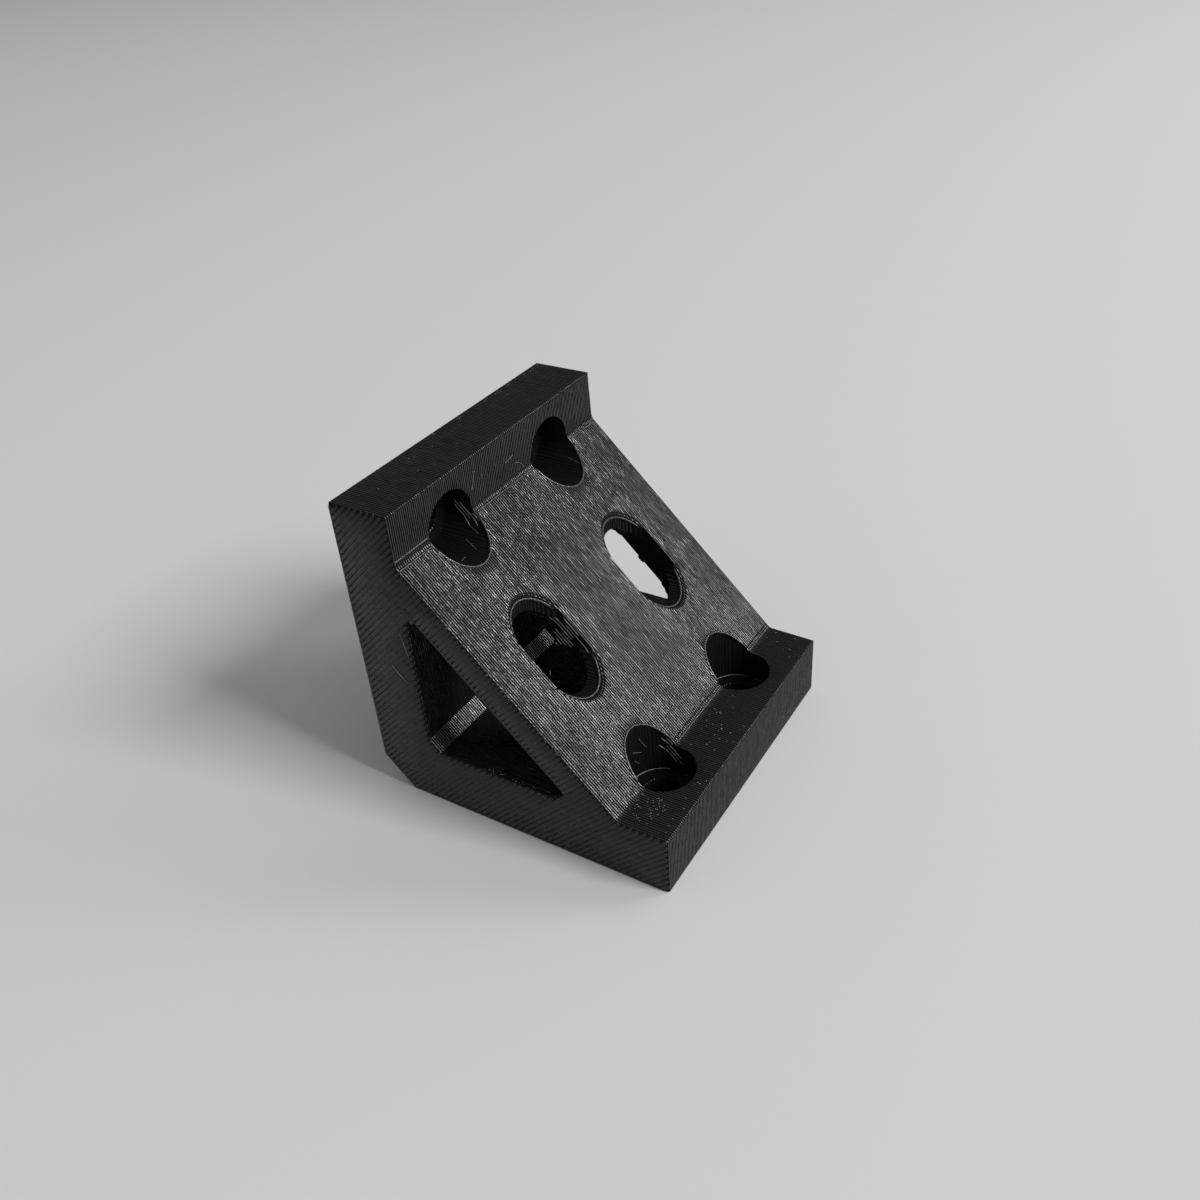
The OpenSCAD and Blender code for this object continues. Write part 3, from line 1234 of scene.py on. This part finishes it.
def plastic(look, name, gloss=None):
    """Black filament plastic, streaked along its lines. Without a gloss, its layers' grooves are dull,
    partly as painted shade.
    """
    if name in bpy.data.materials:
        return bpy.data.materials[name]
    finish = look.finish
    material, tree, shader, where = new_material(name)
    calc = partial(math_node, tree)

    def noise(scale, detail):
        """Noise in object coordinates, stretched by its scale along each axis."""
        spot = put(tree, "ShaderNodeMapping", {"Vector": where, "Scale": scale}).outputs[0]
        return put(tree, "ShaderNodeTexNoise", {"Vector": spot, "Scale": 1.0, "Detail": detail}).outputs[0]

    streaks = noise(STREAK_SCALE, 2.0)
    mottle = noise(MOTTLE_SCALE, 3.0)
    grain = noise(GRAIN_SCALE, 2.0)
    rest = calc("MULTIPLY", mottle, 1 - STREAK_SHARE)
    mixed = calc("MULTIPLY_ADD", streaks, STREAK_SHARE, rest)
    dull = remap(tree, mixed, STREAK_RANGE, (finish.smooth, finish.rough))
    patches = remap(tree, mottle, MOTTLE_RANGE, PATCH_RELIEF)
    relief = calc("MULTIPLY", streaks, patches)
    relief = calc("MULTIPLY_ADD", grain, GRAIN_RELIEF, relief)
    bump = put(tree, "ShaderNodeBump", {"Strength": 1.0, "Distance": RELIEF_DEPTH, "Height": relief})
    tree.links.new(mix_colours(tree, mixed, finish.dark, finish.light), shader["Base Color"])
    tree.links.new(dull, shader["Roughness"])
    tree.links.new(bump.outputs[0], shader["Normal"])
    shader["IOR"].default_value = PLASTIC_IOR
    if gloss is not None:
        shader["Specular IOR Level"].default_value = gloss
    else:
        # The shine attribute scales the gloss: painted shade in the bores, painted sheen on the dashes and
        # the flat
        shine = put(tree, "ShaderNodeAttribute", attribute_name="shine").outputs["Fac"]
        steady = remap(tree, shine, (DASH_PAINTED_SHEEN, FLAT_PAINTED_SHEEN), (1.0, FLAT_RELIEF))
        tree.links.new(layer_gloss(look, tree, where, shine), shader["Specular IOR Level"])
        tree.links.new(steady, bump.inputs["Strength"])
    return material


def pale_plastic_and_painted_highlight(look):
    """The same plastic drawn out thin, where it turns pale. On the lines in the bores and round the seats
    the pale colour is a painted highlight, where black plastic catches the light.
    """
    name = "pale_filament"
    if name in bpy.data.materials:
        return bpy.data.materials[name]
    material, tree, shader, where = new_material(name)
    spots = {"Vector": where, "Scale": CRUMB_GRAIN, "Detail": 1.0}
    shade = put(tree, "ShaderNodeTexNoise", spots).outputs[0]
    pale = look.finish.crumbs
    deep = [CRUMB_SHADE * part for part in pale]
    tree.links.new(mix_colours(tree, shade, deep, pale), shader["Base Color"])
    shader["Roughness"].default_value = CRUMB_ROUGHNESS
    return material


def floor_material(stage):
    """Matt pale floor. In reflections it is painted dark away from the bracket, a painted dark reflection,
    so the plastic mirrors it only close to the bracket.
    """
    material, tree, shader, where = new_material("pale_floor")
    reach = stage.shine_reach
    # Painted dark reflection: the floor's colour turns black for reflected rays away from the bracket
    painted_dark_reflection = remap(tree, vector_node(tree, "LENGTH", where), (PAINTED_DARK_START * reach, reach), (0.0, PAINTED_DARK_MOST))
    mirror_ray = put(tree, "ShaderNodeLightPath").outputs["Is Glossy Ray"]
    painted_dark_reflection = math_node(tree, "MULTIPLY", painted_dark_reflection, mirror_ray)
    tree.links.new(mix_colours(tree, painted_dark_reflection, stage.floor, (0, 0, 0)), shader["Base Color"])
    shader["Roughness"].default_value = 1.0
    shader["Specular IOR Level"].default_value = 0.0
    return material


# Stage


# Half the side of the floor, and where on its reach in reflections its painted dark reflection starts, and
# how dark it gets
FLOOR_REACH = 3.0
PAINTED_DARK_START = 0.4
PAINTED_DARK_MOST = 0.95
# How far up the sky's glow and its reflection change, from 0 to 1, and the reflection's strength low down
GLOW_TOP = 0.65
SHINE_TOP = 0.3
SHINE_LOW = 0.02


def make_floor(scene, stage):
    """The floor, which isn't part of the bracket."""
    reach = FLOOR_REACH
    corners = [(-reach, -reach, 0), (reach, -reach, 0), (reach, reach, 0), (-reach, reach, 0)]
    mesh = bpy.data.meshes.new("floor")
    mesh.from_pydata(corners, [], [(0, 1, 2, 3)])
    mesh.materials.append(floor_material(stage))
    floor = bpy.data.objects.new("floor", mesh)
    scene.collection.objects.link(floor)


def make_sky(scene, stage):
    """Soft light from all round, with strengths of its own in reflections and in view."""
    world = bpy.data.worlds.new("soft_room")
    world.use_nodes = True
    sky = world.node_tree
    upward = split(sky, put(sky, "ShaderNodeTexCoord").outputs["Generated"])["Z"]
    ray = put(sky, "ShaderNodeLightPath").outputs
    glow = remap(sky, upward, (0.0, GLOW_TOP), (stage.sky_low, stage.sky_high))
    shine = remap(sky, upward, (0.0, SHINE_TOP), (SHINE_LOW, stage.sky_shine))

    def either(kind, other, own):
        """A strength of its own for one kind of ray, and the other strength for the rest."""
        return put(sky, "ShaderNodeMix", {0: ray[kind], 2: other, 3: own}).outputs[0]

    strength = either("Is Camera Ray", either("Is Glossy Ray", glow, shine), stage.sky_seen)
    background = sky.nodes["Background"].inputs
    background["Color"].default_value = (1, 1, 1, 1)
    sky.links.new(strength, background["Strength"])
    scene.world = world


def make_light(scene, stage, name, watts, sides, way):
    """A soft light with two sides, on its way from the bracket, and turned to it."""
    lamp = bpy.data.lights.new(name, "AREA")
    lamp.energy = watts
    lamp.shape = "RECTANGLE"
    lamp.size, lamp.size_y = sides
    lamp.color = stage.light
    light = bpy.data.objects.new(name, lamp)
    scene.collection.objects.link(light)
    behind = Vector(way).normalized()
    upward = behind.cross(Vector(stage.slant)).normalized()
    turn = Matrix([upward.cross(behind), upward, behind]).transposed()
    middle = (LOW + HIGH) / 2
    light.matrix_world = Matrix.Translation(middle + behind * stage.distance) @ turn.to_4x4()


def make_camera(scene, stage):
    """The camera, at the place and with the roll that the stage gives it."""
    lens = bpy.data.cameras.new("camera")
    lens.lens = stage.lens
    lens.clip_start = 1 * MM
    camera = bpy.data.objects.new("camera", lens)
    scene.collection.objects.link(camera)
    place, target = Vector(stage.camera), Vector(stage.target)
    level = (target - place).to_track_quat("-Z", "Y").to_matrix()
    turn = level @ Matrix.Rotation(stage.roll, 3, "Z")
    camera.matrix_world = Matrix.Translation(place) @ turn.to_4x4()
    scene.camera = camera


class BRACKET_OT_stage(bpy.types.Operator):
    """Make the floor, the light and the camera"""

    bl_idname = "bracket.stage"
    bl_label = "Stage"

    def execute(self, context):
        scene = context.scene
        stage = scene.bracket_look.stage
        scene.view_settings.view_transform = "Standard"
        make_floor(scene, stage)
        make_sky(scene, stage)
        make_light(scene, stage, "key", stage.key, (stage.key_size, stage.key_size), stage.key_way)
        make_light(scene, stage, "back", stage.back, (stage.back_size, stage.back_depth), stage.back_way)
        make_light(scene, stage, "low", stage.low, (stage.low_size, stage.low_size), stage.low_way)
        make_camera(scene, stage)
        return {"FINISHED"}


# Sidebar


class BRACKET_PT_panel(bpy.types.Panel):
    """Lists the bracket's pieces and what can be set about them"""

    bl_idname = "BRACKET_PT_panel"
    bl_label = "Printed Bracket"
    bl_space_type = "VIEW_3D"
    bl_region_type = "UI"
    bl_category = "Bracket"

    def draw(self, context):
        look = context.scene.bracket_look
        for operator in OPERATORS:
            self.layout.operator(operator.bl_idname)
        for part in (look.sizes, look.laid, look.finish, look.stage):
            box = self.layout.box()
            for name in part.__annotations__:
                box.prop(part, name)


OPERATORS = (
    BRACKET_OT_layers,
    BRACKET_OT_skins,
    BRACKET_OT_bore_lines,
    BRACKET_OT_ridges,
    BRACKET_OT_strings,
    BRACKET_OT_crumbs,
    BRACKET_OT_stage,
)
CLASSES = (
    BracketSizes,
    PrintSizes,
    FinishColours,
    StageLook,
    BracketLook,
    *OPERATORS,
    BRACKET_PT_panel,
)


def register():
    """Register the classes and the scene's settings."""
    for cls in CLASSES:
        bpy.utils.register_class(cls)
    bpy.types.Scene.bracket_look = PointerProperty(type=BracketLook)


def unregister():
    """Remove the scene's settings and the classes."""
    del bpy.types.Scene.bracket_look
    for cls in reversed(CLASSES):
        bpy.utils.unregister_class(cls)


def main():
    """Build the bracket and its stage."""
    register()
    bpy.ops.bracket.layers()
    bpy.ops.bracket.skins()
    bpy.ops.bracket.bore_lines()
    bpy.ops.bracket.ridges()
    bpy.ops.bracket.strings()
    bpy.ops.bracket.crumbs()
    bpy.ops.bracket.stage()


if __name__ == "__main__":
    main()
